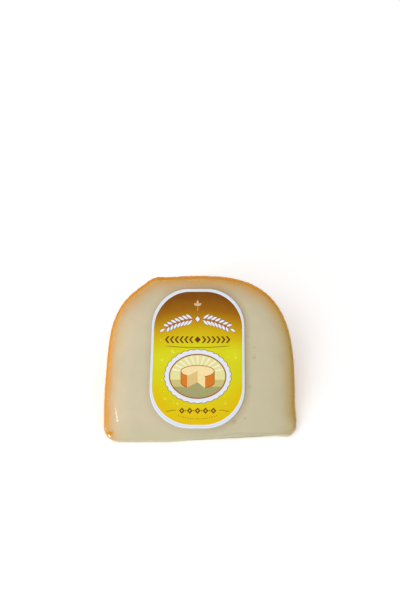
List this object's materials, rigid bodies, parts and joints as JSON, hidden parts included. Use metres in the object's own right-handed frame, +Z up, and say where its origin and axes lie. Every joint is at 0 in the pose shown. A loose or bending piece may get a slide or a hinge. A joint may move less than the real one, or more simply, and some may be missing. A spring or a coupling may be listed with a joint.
{
  "type": "manchego cheese wedge",
  "caption": "Wedge of hard sheep's milk cheese with an orange rind on three sides, sealed in clear film, with a tall round-cornered label on its upper cut face.",
  "frame": {"origin": "middle of the bounding box's base, on the surface that the lower cut face rests on", "axes": "+X along the axis of the wheel the wedge was cut from, +Y from the thin tip towards the rind at the rim, +Z up"},
  "size_m": [0.1058, 0.0914, 0.0462],
  "materials": {
    "cheese_in_film": "pale cream cheese with an orange rind, under clear glossy film",
    "label_paper": "printed yellow label with a white border, satin"
  },
  "bodies": {
    "root": {"cheese_in_film": "cheese_in_film", "label": "label_paper"}
  },
  "joints": []
}
